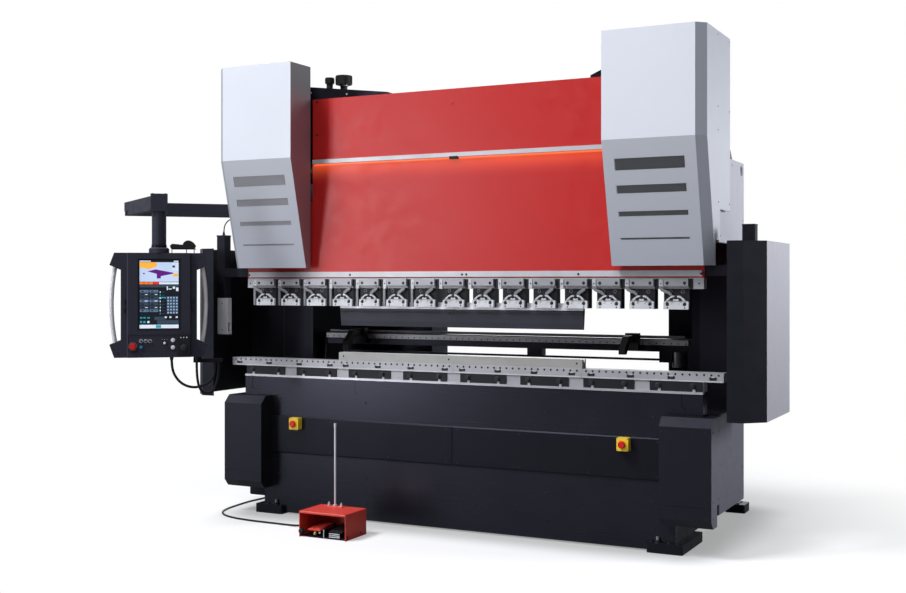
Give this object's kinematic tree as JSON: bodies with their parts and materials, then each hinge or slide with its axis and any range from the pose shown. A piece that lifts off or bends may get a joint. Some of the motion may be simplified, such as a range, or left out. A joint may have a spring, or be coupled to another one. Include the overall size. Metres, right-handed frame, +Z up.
{
  "type": "press brake",
  "caption": "Down-acting hydraulic press brake with clamped punches and dies, back gauge, guards, swinging control panel and foot pedal on a cable.",
  "frame": {"origin": "on the floor, at the centre of the four anchor holes in the feet", "axes": "+X along the bed to the operator's right, +Y away from the operator, +Z up; the bending line is at Y = -0.660 m"},
  "size_m": [4.2614, 2.4567, 2.928],
  "materials": {
    "machine_black": "semi-gloss blue-black paint",
    "cover_grey": "satin silver-grey paint",
    "ram_red": "satin red paint",
    "machined_steel": "ground",
    "dark_steel": "blackened",
    "chrome_rod": "polished",
    "safety_yellow": "semi-gloss",
    "button_red": "gloss",
    "black_plastic": "matt",
    "panel_black": "fine texture",
    "screen_glass": "gloss",
    "cable_rubber": "matt",
    "pedal_red": "semi-gloss"
  },
  "bodies": {
    "machine": {"side_frames": "machine_black", "feet": "machine_black", "bed_front_plate": "machine_black", "table_plate": "machine_black", "bed_rear_plate": "machine_black", "bed_cover_panels": "machine_black", "wedge_bar": "machined_steel", "wedge_clamps": "dark_steel", "die_rails": "machined_steel", "dies": "machined_steel", "front_boxes": "machine_black", "cable_duct": "machine_black", "side_covers": "cover_grey", "cylinder_covers": "cover_grey", "cylinders": "machine_black", "tie_beams": "machine_black", "oil_tank": "machine_black", "tank_caps": "black_plastic", "rear_cabinets": "machine_black", "guard_fronts": "machine_black", "guard_sides": "cover_grey", "brackets": "machine_black", "estop_boxes": "safety_yellow", "slideways": "machined_steel", "pedal_hood": "pedal_red", "pedal_base": "dark_steel", "pedal_rod": "machined_steel", "pedal_cable": "cable_rubber", "cable_glands": "black_plastic"},
    "ram": {"ram_plate": "ram_red", "ram_scale": "machined_steel", "tool_rail": "machined_steel", "light_bar": "machined_steel", "holder_bodies": "dark_steel", "holder_plates": "machined_steel", "holder_levers": "machined_steel", "punches": "dark_steel", "curtain_posts": "machine_black", "curtain_heads": "machined_steel", "piston_rods": "chrome_rod", "sensor_cable": "cable_rubber"},
    "arm_inner": {"arm_one": "machine_black"},
    "arm_outer": {"arm_two": "machine_black"},
    "panel": {"panel_housing": "panel_black", "panel_screen": "screen_glass", "panel_handles": "machined_steel", "panel_controls": "black_plastic", "cable_clip": "machine_black", "panel_shelf": "machined_steel", "hand_unit": "black_plastic", "panel_cables": "cable_rubber"},
    "gauge": {"gauge_beam": "machine_black", "gauge_track": "machined_steel", "gauge_drive": "machine_black"},
    "left_finger": {"left_gauge_finger": "black_plastic"},
    "right_finger": {"right_gauge_finger": "black_plastic"},
    "left_stop_button": {"left_estop_button": "button_red"},
    "right_stop_button": {"right_estop_button": "button_red"},
    "left_pedal": {"stop_pedal": "pedal_red"},
    "right_pedal": {"run_pedal": "black_plastic"}
  },
  "joints": [
    {"name": "ram_slide", "type": "slide", "parent": "machine", "child": "ram", "axis": [0, 0, -1], "range_m": [0, 0.165]},
    {"name": "arm_swing", "type": "hinge", "parent": "machine", "child": "arm_inner", "pos_m": [-1.69, -0.37, 2.02], "axis": [0, 0, 1], "range_deg": [-90, 25]},
    {"name": "arm_elbow", "type": "hinge", "parent": "arm_inner", "child": "arm_outer", "pos_m": [-2.304, -1.004, 2.02], "axis": [0, 0, 1], "range_deg": [-60, 10]},
    {"name": "panel_swivel", "type": "hinge", "parent": "arm_outer", "child": "panel", "pos_m": [-1.668, -1.454, 1.74], "axis": [0, 0, 1], "range_deg": [-60, 60]},
    {"name": "gauge_slide", "type": "slide", "parent": "machine", "child": "gauge", "axis": [0, 1, 0], "range_m": [-0.3, 0.2]},
    {"name": "left_finger_slide", "type": "slide", "parent": "gauge", "child": "left_finger", "axis": [1, 0, 0], "range_m": [-0.24, 0.9]},
    {"name": "right_finger_slide", "type": "slide", "parent": "gauge", "child": "right_finger", "axis": [1, 0, 0], "range_m": [-0.85, 0.28]},
    {"name": "left_stop_press", "type": "slide", "parent": "machine", "child": "left_stop_button", "axis": [0, 1, 0], "range_m": [0, 0.005], "stiffness_N_per_m": 2000, "springref_m": -0.003},
    {"name": "right_stop_press", "type": "slide", "parent": "machine", "child": "right_stop_button", "axis": [0, 1, 0], "range_m": [0, 0.005], "stiffness_N_per_m": 2000, "springref_m": -0.003},
    {"name": "left_pedal_press", "type": "hinge", "parent": "machine", "child": "left_pedal", "pos_m": [-0.6625, -1.092, 0.05], "axis": [1, 0, 0], "range_deg": [0, 8], "stiffness_Nm_per_rad": 12, "springref_deg": -20.05},
    {"name": "right_pedal_press", "type": "hinge", "parent": "machine", "child": "right_pedal", "pos_m": [-0.5105, -1.092, 0.05], "axis": [1, 0, 0], "range_deg": [0, 8], "stiffness_Nm_per_rad": 12, "springref_deg": -20.05}
  ]
}
